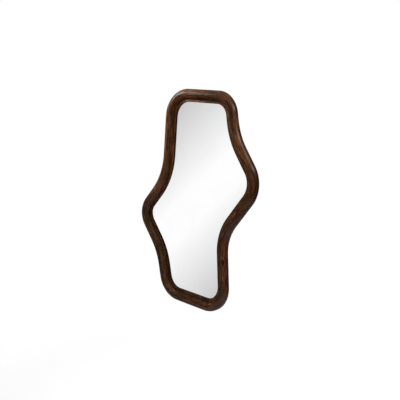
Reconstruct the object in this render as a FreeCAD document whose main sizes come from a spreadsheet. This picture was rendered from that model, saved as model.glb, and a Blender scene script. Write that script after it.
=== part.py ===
import FreeCAD, Part
import math
import os
import Sketcher

Vector = FreeCAD.Vector
doc = FreeCAD.newDocument("wavy_mirror")

# Driving sizes, in millimetres and degrees
size_values = {
    # spans between the outermost bend points of the bar's centre line
    "bend_span_wide": 708,
    "bend_span_high": 976,
    # radius of the centre line at each bend
    "radius_top_left": 105,
    "radius_top_right": 90,
    "radius_right_upper_waist": 310,
    "radius_right_bulge": 115,
    "radius_right_lower_waist": 205,
    "radius_bottom_right": 100,
    "radius_bottom_left": 100,
    "radius_left_lower_waist": 310,
    "radius_left_bulge": 85,
    "radius_left_upper_waist": 295,
    # least straight length on either side of a joint
    "joint_straight": 2,
    # half-round bar with a thin ledge over the edge of the glass
    "bar_radius": 23,
    "back_round": 3,
    "ledge_width": 11,
    "ledge_thickness": 4,
    "ledge_round": 1.5,
    # what lies in the rebate, from the ledge back
    "glass_thickness": 4,
    "glass_cover": 15,
    "glass_edge_gap": 1,
    "glass_arris": 0.5,
    "tape_thickness": 2,
    "tape_width": 25,
    "board_thickness": 3,
    "board_margin": 12,
    "board_edge_gap": 0.5,
    # dowels across each joint
    "dowel_diameter": 8,
    "dowel_length": 36,
    "dowel_chamfer": 1,
    "dowel_spread": 20,
    "dowel_set_back": 17,
    "dowel_clearance": 0.05,
    # room left at the bottom of the blind holes
    "hole_end_gap": 1,
    # countersunk screws of the board
    "board_screw_head_diameter": 6,
    "board_screw_head_height": 1.6,
    "board_screw_diameter": 3,
    "board_screw_length": 12,
    "board_screw_point": 3,
    "screw_clearance": 0.05,
    "recess_reach": 1.6,
    "recess_width": 0.7,
    "recess_depth": 0.9,
    # hangers on the back, level with each other, their pivots above the joint of the left upper run
    "hanger_above_joint": 40,
    "strap_width": 11,
    "strap_length": 16,
    "strap_thickness": 1.2,
    "strap_screw_drop": 9,
    "eye_roll_angle": 290,
    "ring_wire": 3,
    "ring_clearance": 0.06,
    "ring_half_width": 9,
    "ring_arm": 12,
    "ring_corner_radius": 3,
    "ring_split": 0.4,
    "hanger_screw_head_diameter": 7,
    "hanger_screw_head_height": 2.2,
    "hanger_screw_diameter": 3.5,
    "hanger_screw_length": 14,
    "hanger_screw_point": 3.5,
    # bumpers against the wall
    "bumper_height": 6,
    "bumper_diameter": 16,
    "bumper_face_diameter": 13,
}

# Bend points clockwise from the top left, seen from the front, as shares of half the spans
bend_shares = {
    "top_left": (-0.4, 1.0),
    "top_right": (0.58, 0.93),
    "right_upper_waist": (0.645, 0.585),
    "right_bulge": (1.005, 0.17),
    "right_lower_waist": (0.46, -0.295),
    "bottom_right": (0.5, -0.995),
    "bottom_left": (-0.52, -0.945),
    "left_lower_waist": (-0.625, -0.54),
    "left_bulge": (-1.0, -0.16),
    "left_upper_waist": (-0.5, 0.21),
}

# Tape strips: middle across, lower end and upper end, as shares of half the spans
tape_shares = {
    "tape_left": (-0.22, -0.78, 0.8),
    "tape_right": (0.22, -0.8, 0.78),
    "tape_left_bulge": (-0.66, -0.3, -0.02),
    "tape_right_bulge": (0.66, 0.04, 0.32),
}

# Bumpers: the bend that their run starts from, and the share of that run
bumper_run_shares = {
    "bumper_top_left": ("top_left", 0.36),
    "bumper_top_right": ("top_left", 0.74),
    "bumper_bottom_right": ("bottom_right", 0.36),
    "bumper_bottom_left": ("bottom_right", 0.74),
}

# Hangers: the bend that their run starts from
hanger_runs = {"left": "left_upper_waist", "right": "top_right"}

sizes = doc.addObject("Spreadsheet::Sheet", "Sizes")
layout = doc.addObject("Spreadsheet::Sheet", "Layout")


# One row of a sheet: the name, and the value under that name
def enter(sheet, alias, content):
    row = len(sheet.getUsedCells()) // 2 + 1
    sheet.set("A%d" % row, alias)
    sheet.set("B%d" % row, content)
    sheet.setAlias("B%d" % row, alias)


def derive(alias, formula):
    enter(layout, alias, "=" + formula)


for alias, amount in size_values.items():
    enter(sizes, alias, str(amount))
for bend, (across_share, up_share) in bend_shares.items():
    enter(sizes, "across_share_" + bend, str(across_share))
    enter(sizes, "up_share_" + bend, str(up_share))

# Depths and lines across the section, measured from the back face and from the bar's centre line
derive("back_depth", "Sizes.ledge_thickness + Sizes.glass_thickness + Sizes.tape_thickness"
       " + Sizes.board_thickness")
derive("glass_back", "Sizes.board_thickness + Sizes.tape_thickness")
derive("glass_front", "glass_back + Sizes.glass_thickness")
derive("ledge_edge", "Sizes.bar_radius + Sizes.ledge_width")
derive("glass_line", "ledge_edge - Sizes.glass_cover")
derive("rebate_line", "glass_line - Sizes.glass_edge_gap")
derive("step_line", "rebate_line - Sizes.board_margin")
derive("board_line", "step_line + Sizes.board_edge_gap")
derive("screw_line", "(rebate_line + step_line) / 2")
derive("back_middle", "(step_line - Sizes.bar_radius) / 2")
derive("dowel_hole_depth", "Sizes.dowel_length / 2 + Sizes.hole_end_gap")
derive("eye_inner", "Sizes.ring_wire / 2 + Sizes.ring_clearance")
derive("eye_outer", "eye_inner + Sizes.strap_thickness")
derive("pivot_depth", "eye_outer - Sizes.bumper_height")

# Each bend point, and the run from it to the next bend
bends = list(bend_shares)
before = {bend: bends[index - 1] for index, bend in enumerate(bends)}
after = {earlier: bend for bend, earlier in before.items()}
for bend in bends:
    derive("point_x_" + bend, "Sizes.bend_span_wide / 2 * Sizes.across_share_" + bend)
    derive("point_z_" + bend, "Sizes.bend_span_high / 2 * Sizes.up_share_" + bend)
for bend in bends:
    for axis in "xz":
        here = "point_%s_%s" % (axis, bend)
        there = "point_%s_%s" % (axis, after[bend])
        derive("run_%s_%s" % (axis, bend), "%s - %s" % (there, here))
        derive("joint_%s_%s" % (axis, bend), "(%s + %s) / 2" % (here, there))
    derive("run_" + bend, "sqrt(run_x_{0} ^ 2 + run_z_{0} ^ 2)".format(bend))
    derive("along_x_" + bend, "run_x_{0} / run_{0}".format(bend))
    derive("along_z_" + bend, "run_z_{0} / run_{0}".format(bend))

# Each segment runs from the middle of one run to the middle of the next.
# In its own frame it starts along Z, with X pointing to the glass.
for bend in bends:
    names = {"b": bend, "p": before[bend]}
    derive("tilt_" + bend, "atan2(along_x_{p}; along_z_{p})".format(**names))
    derive("turn_" + bend, "atan2(along_z_{p} * along_x_{b} - along_x_{p} * along_z_{b};"
           " along_x_{p} * along_x_{b} + along_z_{p} * along_z_{b})".format(**names))
    derive("lead_" + bend, "run_{p} / 2".format(**names))
    derive("tail_" + bend, "run_{b} / 2".format(**names))
    # the bend is no larger than the shorter of its two straights leaves room for
    derive("room_" + bend, "min(lead_{b}; tail_{b}) - Sizes.joint_straight".format(**names))
    derive("bow_" + bend, "min(Sizes.radius_{b}; room_{b} / abs(tan(turn_{b} / 2)))"
           " * turn_{b} / abs(turn_{b})".format(**names))
    derive("setback_" + bend, "bow_{b} * tan(turn_{b} / 2)".format(**names))
    derive("end_x_" + bend, "tail_{b} * sin(turn_{b})".format(**names))
    derive("end_z_" + bend, "lead_{b} + tail_{b} * cos(turn_{b})".format(**names))
    # the board's screw, on the bisector of the bend
    derive("screw_x_" + bend, "bow_{b} - (bow_{b} - screw_line) * cos(turn_{b} / 2)".format(**names))
    derive("screw_z_" + bend, "lead_{b} - setback_{b} + (bow_{b} - screw_line) * sin(turn_{b} / 2)"
           .format(**names))
    derive("drill_x_" + bend, "joint_x_{p} + screw_x_{b} * cos(tilt_{b}) + screw_z_{b} * sin(tilt_{b})"
           .format(**names))
    derive("drill_z_" + bend, "joint_z_{p} - screw_x_{b} * sin(tilt_{b}) + screw_z_{b} * cos(tilt_{b})"
           .format(**names))

# Hangers stand level with each other, over the middle of the bar's back face
derive("hanger_height", "joint_z_%s + Sizes.hanger_above_joint" % hanger_runs["left"])
for side, bend in hanger_runs.items():
    names = {"s": side, "b": bend, "n": after[bend]}
    derive("hanger_x_" + side, "point_x_{b} + run_x_{b} * (hanger_height - point_z_{b}) / run_z_{b}"
           " + back_middle / along_z_{b}".format(**names))
    derive("hook_x_" + side, "hanger_x_{s} - joint_x_{b}".format(**names))
    derive("hook_z_" + side, "hanger_height - Sizes.strap_screw_drop - joint_z_{b}".format(**names))
    derive("pilot_x_" + side, "hook_x_{s} * cos(tilt_{n}) - hook_z_{s} * sin(tilt_{n})".format(**names))
    derive("pilot_z_" + side, "hook_x_{s} * sin(tilt_{n}) + hook_z_{s} * cos(tilt_{n})".format(**names))

doc.recompute()


# The number that an expression over the two sheets stands for
def number(expression):
    result = layout.evalExpression(expression)
    return float(getattr(result, "Value", result))


def spot(across, up):
    return Vector(number(across), number(up), 0)


def origin_plane(body, role):
    return next(feature for feature in body.Origin.OriginFeatures if feature.Role == role)


def new_body(label, across="0", depth="0", up="0", tilt="0"):
    body = doc.addObject("PartDesign::Body", label)
    body.Label = label
    body.setExpression("Placement", place(across, depth, up, tilt))
    return body


def place(across, depth, up, tilt="0"):
    return "placement(vector(%s; %s; %s); rotation(vector(0; 1; 0); %s))" % (across, depth, up, tilt)


# A sketch on one of the body's own planes, moved off it along the plane's normal
def sketch_on(body, role, name, lift="0"):
    sketch = body.newObject("Sketcher::SketchObject", name)
    sketch.AttachmentSupport = [(origin_plane(body, role), "")]
    sketch.MapMode = "FlatFace"
    if lift != "0":
        sketch.setExpression("AttachmentOffset.Base.z", lift)
    return sketch


def bind(sketch, constraint, expression):
    index = sketch.addConstraint(constraint)
    sketch.setExpression("Constraints[%d]" % index, expression)


# Holds one coordinate of a sketch point at an expression
def hold(sketch, index, end, kind, expression):
    axis = -2 if kind == "DistanceX" else -1
    if expression == "0":
        sketch.addConstraint(Sketcher.Constraint("PointOnObject", index, end, axis))
    else:
        bind(sketch, Sketcher.Constraint(kind, -1, 1, index, end, number(expression)), expression)


def hold_point(sketch, index, end, across, up):
    hold(sketch, index, end, "DistanceX", across)
    hold(sketch, index, end, "DistanceY", up)


# Draws steps from a start point: (x, y) is a line to there, (x, y, centre x, centre y) an arc
def trace(sketch, start, steps, closed=True):
    here = start
    earlier = None
    first = None
    for step in steps:
        begin = spot(*here)
        finish = spot(*step[:2])
        ends = (1, 2)
        if len(step) == 2:
            index = sketch.addGeometry(Part.LineSegment(begin, finish))
        else:
            centre = spot(*step[2:])
            low = begin - centre
            high = finish - centre
            if low.cross(high).z < 0:
                low, high = high, low
                ends = (2, 1)
            circle = Part.Circle(centre, Vector(0, 0, 1), low.Length)
            arc = Part.ArcOfCircle(circle, math.atan2(low.y, low.x), math.atan2(high.y, high.x))
            index = sketch.addGeometry(arc)
        if earlier:
            sketch.addConstraint(Sketcher.Constraint("Coincident", *earlier, index, ends[0]))
        else:
            first = (index, ends[0])
        hold_point(sketch, index, ends[1], *step[:2])
        if len(step) == 4:
            chord = finish - begin
            steep = abs(chord.y) > abs(chord.x)
            hold(sketch, index, 3, "DistanceX" if steep else "DistanceY", step[2] if steep else step[3])
        earlier = (index, ends[1])
        here = step[:2]
    if closed:
        sketch.addConstraint(Sketcher.Constraint("Coincident", *earlier, *first))
    else:
        hold_point(sketch, *first, *start)


def circle_at(sketch, across, up, diameter):
    index = sketch.addGeometry(Part.Circle(spot(across, up), Vector(0, 0, 1), number(diameter) / 2))
    hold_point(sketch, index, 3, across, up)
    bind(sketch, Sketcher.Constraint("Diameter", index, number(diameter)), diameter)


def pad(body, sketch, name, length, reverse=False, both_ways=False):
    feature = body.newObject("PartDesign::Pad", name)
    feature.Profile = sketch
    feature.setExpression("Length", length)
    feature.Reversed = reverse
    if both_ways:
        feature.SideType = "Symmetric"
    return feature


# A pocket that has to take wood or metal away
def pocket(body, sketch, name, depth, reverse=False):
    doc.recompute()
    solid = body.Shape.Volume
    feature = body.newObject("PartDesign::Pocket", name)
    feature.Profile = sketch
    feature.setExpression("Length", depth)
    feature.Reversed = reverse
    doc.recompute()
    if body.Shape.Volume >= solid:
        raise RuntimeError("%s cuts nothing from %s" % (name, body.Label))
    return feature


def revolve(body, sketch, name):
    feature = body.newObject("PartDesign::Revolution", name)
    feature.Profile = sketch
    feature.ReferenceAxis = (sketch, ["V_Axis"])
    feature.Angle = 360
    return feature


def sweep(body, section, path, name):
    doc.recompute()
    feature = body.newObject("PartDesign::AdditivePipe", name)
    feature.Profile = section
    feature.Spine = (path, ["Edge%d" % (edge + 1) for edge in range(path.GeometryCount)])
    return feature


# Cross-section of the bar: round front, ledge over the glass, rebate and step for the board
def draw_section(sketch):
    outer = "-Sizes.bar_radius"
    middle = "-Layout.back_depth"
    front = "-Layout.back_depth - Sizes.bar_radius"
    roof = "-Layout.glass_front"
    seat = "-Sizes.board_thickness"
    curl = "Layout.ledge_edge - Sizes.ledge_round"
    brow = "-Layout.back_depth + Sizes.ledge_round"
    trace(sketch, ("-Sizes.bar_radius + Sizes.back_round", "0"), [
        ("Layout.step_line", "0"),
        ("Layout.step_line", seat),
        ("Layout.rebate_line", seat),
        ("Layout.rebate_line", roof),
        ("Layout.ledge_edge", roof),
        ("Layout.ledge_edge", brow),
        (curl, middle, curl, brow),
        ("Sizes.bar_radius", middle),
        ("0", front, "0", middle),
        (outer, middle, "0", middle),
        (outer, "-Sizes.back_round"),
        ("-Sizes.bar_radius + Sizes.back_round", "0",
         "-Sizes.bar_radius + Sizes.back_round", "-Sizes.back_round"),
    ])


# Straight, bend, straight
def draw_path(sketch, bend):
    names = {"b": bend}
    rise = "Layout.lead_{b} - Layout.setback_{b}".format(**names)
    trace(sketch, ("0", "0"), [
        ("0", rise),
        ("Layout.setback_{b} * sin(Layout.turn_{b})".format(**names),
         "Layout.lead_{b} + Layout.setback_{b} * cos(Layout.turn_{b})".format(**names),
         "Layout.bow_{b}".format(**names), rise),
        ("Layout.end_x_{b}".format(**names), "Layout.end_z_{b}".format(**names)),
    ], closed=False)


def draw_dowel_holes(sketch):
    for side in ("", "-"):
        circle_at(sketch, side + "Sizes.dowel_spread / 2", "-Sizes.dowel_set_back",
                  "Sizes.dowel_diameter + 2 * Sizes.dowel_clearance")


# One bent piece of the bar, drilled for its dowels, its board screw and any hanger screw
def frame_segment(bend):
    earlier = before[bend]
    body = new_body("frame_" + bend, "Layout.joint_x_" + earlier, "-Sizes.bumper_height",
                    "Layout.joint_z_" + earlier, "Layout.tilt_" + bend)
    path = sketch_on(body, "XZ_Plane", "Path")
    draw_path(path, bend)
    section = sketch_on(body, "XY_Plane", "Section")
    draw_section(section)
    sweep(body, section, path, "Bar")

    near = sketch_on(body, "XY_Plane", "NearDowels")
    draw_dowel_holes(near)
    pocket(body, near, "NearDowelHoles", "Layout.dowel_hole_depth", reverse=True)

    far = sketch_on(body, "XY_Plane", "FarDowels")
    far.setExpression("AttachmentOffset", place("Layout.end_x_" + bend, "0", "Layout.end_z_" + bend,
                                                "Layout.turn_" + bend))
    draw_dowel_holes(far)
    pocket(body, far, "FarDowelHoles", "Layout.dowel_hole_depth")

    board = sketch_on(body, "XZ_Plane", "BoardScrew")
    circle_at(board, "Layout.screw_x_" + bend, "Layout.screw_z_" + bend,
              "Sizes.board_screw_diameter + 2 * Sizes.screw_clearance")
    pocket(body, board, "BoardScrewHole", "Sizes.board_screw_length + Sizes.hole_end_gap", reverse=True)

    for side, run in hanger_runs.items():
        if run == earlier:
            hanger = sketch_on(body, "XZ_Plane", "HangerScrew")
            circle_at(hanger, "Layout.pilot_x_" + side, "Layout.pilot_z_" + side,
                      "Sizes.hanger_screw_diameter + 2 * Sizes.screw_clearance")
            pocket(body, hanger, "HangerScrewHole", "Sizes.hanger_screw_length", reverse=True)
    return body


# The wavy outline, moved from the bar's centre line towards the glass
def draw_outline(sketch, offset):
    steps = []
    for bend in bends:
        names = {"b": bend, "p": before[bend], "o": offset}
        centre_x = ("Layout.point_x_{b} - Layout.setback_{b} * Layout.along_x_{p}"
                    " + Layout.bow_{b} * Layout.along_z_{p}").format(**names)
        centre_z = ("Layout.point_z_{b} - Layout.setback_{b} * Layout.along_z_{p}"
                    " - Layout.bow_{b} * Layout.along_x_{p}").format(**names)
        steps.append((
            "Layout.point_x_{b} - Layout.setback_{b} * Layout.along_x_{p} + {o} * Layout.along_z_{p}"
            .format(**names),
            "Layout.point_z_{b} - Layout.setback_{b} * Layout.along_z_{p} - {o} * Layout.along_x_{p}"
            .format(**names)))
        steps.append((
            "Layout.point_x_{b} + Layout.setback_{b} * Layout.along_x_{b} + {o} * Layout.along_z_{b}"
            .format(**names),
            "Layout.point_z_{b} + Layout.setback_{b} * Layout.along_z_{b} - {o} * Layout.along_x_{b}"
            .format(**names), centre_x, centre_z))
    trace(sketch, steps[-1][:2], steps)


def mirror_glass():
    body = new_body("mirror_glass", depth="-Sizes.bumper_height - Layout.glass_back")
    outline = sketch_on(body, "XZ_Plane", "Outline")
    draw_outline(outline, "Layout.glass_line")
    sheet = pad(body, outline, "Sheet", "Sizes.glass_thickness")
    doc.recompute()
    arris = body.newObject("PartDesign::Chamfer", "Arris")
    flats = [index for index, face in enumerate(sheet.Shape.Faces) if abs(face.normalAt(0, 0).y) > 0.5]
    arris.Base = (sheet, ["Face%d" % (index + 1) for index in flats])
    arris.setExpression("Size", "Sizes.glass_arris")
    return body


def back_board():
    body = new_body("back_board", depth="-Sizes.bumper_height")
    outline = sketch_on(body, "XZ_Plane", "Outline")
    draw_outline(outline, "Layout.board_line")
    pad(body, outline, "Panel", "Sizes.board_thickness")
    holes = sketch_on(body, "XZ_Plane", "Holes")
    sinks = sketch_on(body, "XZ_Plane", "Sinks")
    for bend in bends:
        circle_at(holes, "Layout.drill_x_" + bend, "Layout.drill_z_" + bend,
                  "Sizes.board_screw_diameter + 2 * Sizes.screw_clearance")
        circle_at(sinks, "Layout.drill_x_" + bend, "Layout.drill_z_" + bend,
                  "Sizes.board_screw_head_diameter + 2 * Sizes.screw_clearance")
    pocket(body, holes, "ScrewHoles", "Sizes.board_thickness", reverse=True)
    sink = pocket(body, sinks, "Countersinks", "Sizes.board_screw_head_height", reverse=True)
    sink.setExpression("TaperAngle", "atan((Sizes.board_screw_diameter - Sizes.board_screw_head_diameter)"
                       " / 2 / Sizes.board_screw_head_height)")
    return body


def tape_strip(label):
    middle_share, low_share, high_share = tape_shares[label]
    strip = doc.addObject("Part::Box", label)
    strip.Label = label
    strip.setExpression("Length", "Sizes.tape_width")
    strip.setExpression("Width", "Sizes.tape_thickness")
    strip.setExpression("Height", "Sizes.bend_span_high / 2 * %s" % (high_share - low_share))
    strip.setExpression("Placement", place(
        "Sizes.bend_span_wide / 2 * %s - Sizes.tape_width / 2" % middle_share,
        "-Sizes.bumper_height - Layout.glass_back",
        "Sizes.bend_span_high / 2 * %s" % low_share))
    return strip


# One piece repeated at several places, as a group of separate solids
def group(label, piece, places):
    links = []
    for index, where in enumerate(places):
        link = doc.addObject("App::Link", "%s_%d" % (label, index + 1))
        link.LinkedObject = piece
        link.setExpression("Placement", where)
        links.append(link)
    compound = doc.addObject("Part::Compound", label)
    compound.Label = label
    compound.Links = links
    return compound


def dowels():
    body = new_body("one_dowel")
    profile = sketch_on(body, "XZ_Plane", "Profile")
    radius = "Sizes.dowel_diameter / 2"
    neck = "Sizes.dowel_diameter / 2 - Sizes.dowel_chamfer"
    trace(profile, ("0", "-Sizes.dowel_length / 2"), [
        (neck, "-Sizes.dowel_length / 2"),
        (radius, "-Sizes.dowel_length / 2 + Sizes.dowel_chamfer"),
        (radius, "Sizes.dowel_length / 2 - Sizes.dowel_chamfer"),
        (neck, "Sizes.dowel_length / 2"),
        ("0", "Sizes.dowel_length / 2"),
        ("0", "-Sizes.dowel_length / 2"),
    ])
    revolve(body, profile, "Rod")
    places = []
    for bend in bends:
        for side in "+-":
            names = {"b": bend, "n": after[bend], "s": side}
            across = "Layout.joint_x_{b} {s} Sizes.dowel_spread / 2 * cos(Layout.tilt_{n})"
            up = "Layout.joint_z_{b} - ({s}1) * Sizes.dowel_spread / 2 * sin(Layout.tilt_{n})"
            places.append(place(across.format(**names), "-Sizes.bumper_height - Sizes.dowel_set_back",
                                up.format(**names), "Layout.tilt_{n}".format(**names)))
    return group("dowels", body, places)


# Cross recess in the top of a screw head
def cross_recess(body, top):
    cross = sketch_on(body, "XZ_Plane", "Cross", "-(%s)" % top if top != "0" else "0")
    reach = "Sizes.recess_reach"
    half = "Sizes.recess_width / 2"
    corners = [
        (reach, "-" + half), (reach, half), (half, half), (half, reach), ("-" + half, reach),
        ("-" + half, half), ("-" + reach, half), ("-" + reach, "-" + half), ("-" + half, "-" + half),
        ("-" + half, "-" + reach), (half, "-" + reach), (half, "-" + half),
    ]
    trace(cross, corners[-1], corners)
    pocket(body, cross, "Recess", "Sizes.recess_depth", reverse=True)


def board_screws():
    body = new_body("one_board_screw")
    profile = sketch_on(body, "XY_Plane", "Profile")
    shank = "Sizes.board_screw_diameter / 2"
    trace(profile, ("0", "0"), [
        ("Sizes.board_screw_head_diameter / 2", "0"),
        (shank, "-Sizes.board_screw_head_height"),
        (shank, "-Sizes.board_screw_length + Sizes.board_screw_point"),
        ("0", "-Sizes.board_screw_length"),
        ("0", "0"),
    ])
    revolve(body, profile, "Screw")
    cross_recess(body, "0")
    places = [place("Layout.drill_x_" + bend, "-Sizes.bumper_height", "Layout.drill_z_" + bend)
              for bend in bends]
    return group("board_screws", body, places)


# Strap with a rolled eye at its top, flat on the back of the bar
def hanger_strap(side):
    body = new_body("hanger_strap_" + side, "Layout.hanger_x_" + side, "Layout.pivot_depth",
                    "Layout.hanger_height")
    half = "Sizes.strap_width / 2"
    heel = "-Sizes.strap_length + Sizes.strap_width / 2"
    plate = sketch_on(body, "XZ_Plane", "Plate", "Layout.eye_inner")
    trace(plate, ("-" + half, "0"), [
        (half, "0"),
        (half, heel),
        ("0", "-Sizes.strap_length", "0", heel),
        ("-" + half, heel, "0", heel),
        ("-" + half, "0"),
    ])
    circle_at(plate, "0", "-Sizes.strap_screw_drop",
              "Sizes.hanger_screw_diameter + 2 * Sizes.screw_clearance")
    pad(body, plate, "Strap", "Sizes.strap_thickness")
    eye = sketch_on(body, "YZ_Plane", "Eye")
    full = "Sizes.eye_roll_angle"
    part_way = "Sizes.eye_roll_angle / 2"
    trace(eye, ("-Layout.eye_outer", "0"), [
        ("-Layout.eye_inner", "0"),
        on_eye("Layout.eye_inner", part_way),
        on_eye("Layout.eye_inner", full),
        on_eye("Layout.eye_outer", full)[:2],
        on_eye("Layout.eye_outer", part_way),
        ("-Layout.eye_outer", "0", "0", "0"),
    ])
    pad(body, eye, "Roll", "Sizes.strap_width", both_ways=True)
    return body


# A point of the rolled eye, turned about the pivot from the bar's side
def on_eye(radius, angle):
    return ("-%s * cos(%s)" % (radius, angle), "%s * sin(%s)" % (radius, angle), "0", "0")


# D ring of one bent wire, split where the eye hides it, hanging down from the pivot
def hanger_ring(side):
    body = new_body("hanger_ring_" + side, "Layout.hanger_x_" + side, "Layout.pivot_depth",
                    "Layout.hanger_height")
    path = sketch_on(body, "XZ_Plane", "Path")
    wide = "Sizes.ring_half_width"
    narrow = "Sizes.ring_half_width - Sizes.ring_corner_radius"
    left_narrow = "-Sizes.ring_half_width + Sizes.ring_corner_radius"
    shoulder = "-Sizes.ring_corner_radius"
    arm = "-Sizes.ring_arm"
    trace(path, ("Sizes.ring_split / 2", "0"), [
        (narrow, "0"),
        (wide, shoulder, narrow, shoulder),
        (wide, arm),
        ("0", "-Sizes.ring_arm - Sizes.ring_half_width", "0", arm),
        ("-" + wide, arm, "0", arm),
        ("-" + wide, shoulder),
        (left_narrow, "0", left_narrow, shoulder),
        ("-Sizes.ring_split / 2", "0"),
    ], closed=False)
    wire = sketch_on(body, "YZ_Plane", "Wire", "Sizes.ring_split / 2")
    circle_at(wire, "0", "0", "Sizes.ring_wire")
    sweep(body, wire, path, "Ring")
    return body


def hanger_screw(side):
    body = new_body("hanger_screw_" + side, "Layout.hanger_x_" + side,
                    "Sizes.strap_thickness - Sizes.bumper_height",
                    "Layout.hanger_height - Sizes.strap_screw_drop")
    profile = sketch_on(body, "XY_Plane", "Profile")
    shank = "Sizes.hanger_screw_diameter / 2"
    rim = "Sizes.hanger_screw_head_diameter / 2"
    crown = "Sizes.hanger_screw_head_diameter / 2 - Sizes.hanger_screw_head_height"
    under = "-Sizes.hanger_screw_length + Sizes.strap_thickness"
    trace(profile, ("0", "Sizes.hanger_screw_head_height"), [
        (crown, "Sizes.hanger_screw_head_height"),
        (rim, "0", crown, "0"),
        (shank, "0"),
        (shank, under + " + Sizes.hanger_screw_point"),
        ("0", under),
        ("0", "Sizes.hanger_screw_head_height"),
    ])
    revolve(body, profile, "Screw")
    cross_recess(body, "Sizes.hanger_screw_head_height")
    return body


def bumper(label):
    bend, share = bumper_run_shares[label]
    names = {"b": bend, "s": share}
    across = "Layout.point_x_{b} + Layout.run_x_{b} * {s} + Layout.back_middle * Layout.along_z_{b}"
    up = "Layout.point_z_{b} + Layout.run_z_{b} * {s} - Layout.back_middle * Layout.along_x_{b}"
    body = new_body(label, across.format(**names), "-Sizes.bumper_height", up.format(**names))
    profile = sketch_on(body, "XY_Plane", "Profile")
    round_off = "(Sizes.bumper_diameter - Sizes.bumper_face_diameter) / 2"
    shelf = "Sizes.bumper_height - " + round_off
    trace(profile, ("0", "0"), [
        ("Sizes.bumper_diameter / 2", "0"),
        ("Sizes.bumper_diameter / 2", shelf),
        ("Sizes.bumper_face_diameter / 2", "Sizes.bumper_height", "Sizes.bumper_face_diameter / 2", shelf),
        ("0", "Sizes.bumper_height"),
        ("0", "0"),
    ])
    revolve(body, profile, "Pad")
    return body


nodes = [frame_segment(bend) for bend in bends]
nodes += [dowels(), mirror_glass(), back_board(), board_screws()]
nodes += [tape_strip(label) for label in tape_shares]
for hanger_side in hanger_runs:
    nodes += [hanger_strap(hanger_side), hanger_ring(hanger_side), hanger_screw(hanger_side)]
nodes += [bumper(label) for label in bumper_run_shares]
doc.recompute()

for item in doc.Objects:
    if "Invalid" in item.State or "Error" in item.State:
        raise RuntimeError("%s is %s" % (item.Label, item.State))
for node in nodes:
    if node.Shape.isNull() or not node.Shape.isValid():
        raise RuntimeError("%s has no sound shape" % node.Label)

os.makedirs("parts", exist_ok=True)
for node in nodes:
    node.Shape.exportStep("parts/%s.step" % node.Label)
    print("%-28s %2d solids %12.1f mm3" % (node.Label, len(node.Shape.Solids), node.Shape.Volume))
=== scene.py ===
import math
import bmesh
import bpy
from mathutils import Matrix, Vector


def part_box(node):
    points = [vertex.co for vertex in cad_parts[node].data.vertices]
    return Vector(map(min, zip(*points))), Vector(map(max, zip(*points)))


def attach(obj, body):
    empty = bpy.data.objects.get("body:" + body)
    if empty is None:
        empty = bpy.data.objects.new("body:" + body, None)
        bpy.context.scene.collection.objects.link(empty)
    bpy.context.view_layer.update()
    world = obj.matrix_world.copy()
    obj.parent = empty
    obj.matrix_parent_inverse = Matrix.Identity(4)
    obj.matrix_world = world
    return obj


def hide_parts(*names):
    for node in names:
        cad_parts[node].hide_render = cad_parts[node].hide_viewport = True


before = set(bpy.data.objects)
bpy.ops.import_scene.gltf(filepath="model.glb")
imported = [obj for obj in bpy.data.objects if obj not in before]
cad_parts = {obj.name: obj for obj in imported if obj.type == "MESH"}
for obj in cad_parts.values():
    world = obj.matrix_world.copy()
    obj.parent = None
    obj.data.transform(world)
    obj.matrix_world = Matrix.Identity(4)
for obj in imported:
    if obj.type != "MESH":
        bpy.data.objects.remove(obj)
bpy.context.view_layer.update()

scene = bpy.context.scene
scene.view_settings.view_transform = "Standard"


# helpers that place, set and link shader nodes

def feed(tree, value, socket):
    if isinstance(value, bpy.types.NodeSocket):
        tree.links.new(value, socket)
    else:
        socket.default_value = value


def addNode(tree, kind, inputs=None, **settings):
    made = tree.nodes.new("ShaderNode" + kind)
    for name, value in settings.items():
        setattr(made, name, value)
    for name, value in (inputs or {}).items():
        feed(tree, value, made.inputs[name])
    return made


def calc(tree, operation, first, second=0.0, third=0.0):
    return addNode(tree, "Math", {0: first, 1: second, 2: third}, operation=operation).outputs[0]


def stretch(tree, place, factors):
    return addNode(tree, "VectorMath", {0: place, 1: factors}, operation="MULTIPLY").outputs[0]


def enlarge(tree, place, factor):
    return addNode(tree, "VectorMath", {0: place, "Scale": factor}, operation="SCALE").outputs[0]


def lengthOf(tree, place):
    return addNode(tree, "VectorMath", {0: place}, operation="LENGTH").outputs["Value"]


def noise(tree, place, scale=1.0, detail=3.0, roughness=0.5, distortion=0.0):
    values = {"Vector": place, "Scale": scale, "Detail": detail, "Roughness": roughness,
              "Distortion": distortion}
    return addNode(tree, "TexNoise", values).outputs[0]


def remap(tree, value, low, high, toLow=0.0, toHigh=1.0, curve="SMOOTHSTEP"):
    made = addNode(tree, "MapRange", {0: value, 1: low, 2: high, 3: toLow, 4: toHigh},
                   interpolation_type=curve)
    return made.outputs[0]


def mixValue(tree, amount, first, second):
    return addNode(tree, "Mix", {0: amount, 2: first, 3: second}).outputs[0]


def blendColor(tree, amount, first, second, mode="MIX"):
    made = addNode(tree, "Mix", {0: amount, 6: first, 7: second}, data_type="RGBA", blend_type=mode)
    return made.outputs[2]


def shade(red, green, blue):
    return (red, green, blue, 1.0)


def ramp(tree, value, stops):
    made = addNode(tree, "ValToRGB", {0: value})
    points = made.color_ramp.elements
    while len(points) < len(stops):
        points.new(1.0)
    for point, (place, color) in zip(points, stops):
        point.position = place
        point.color = color
    return made.outputs[0]


def attribute(tree, name, output):
    return addNode(tree, "Attribute", attribute_name=name).outputs[output]


def objectPlace(tree):
    return addNode(tree, "TexCoord").outputs["Object"]


def bump(tree, height, distance, strength):
    values = {"Height": height, "Distance": distance, "Strength": strength}
    return addNode(tree, "Bump", values).outputs[0]


def newMaterial(name):
    made = bpy.data.materials.new(name)
    made.use_nodes = True
    return made, made.node_tree, made.node_tree.nodes["Principled BSDF"]


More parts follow.
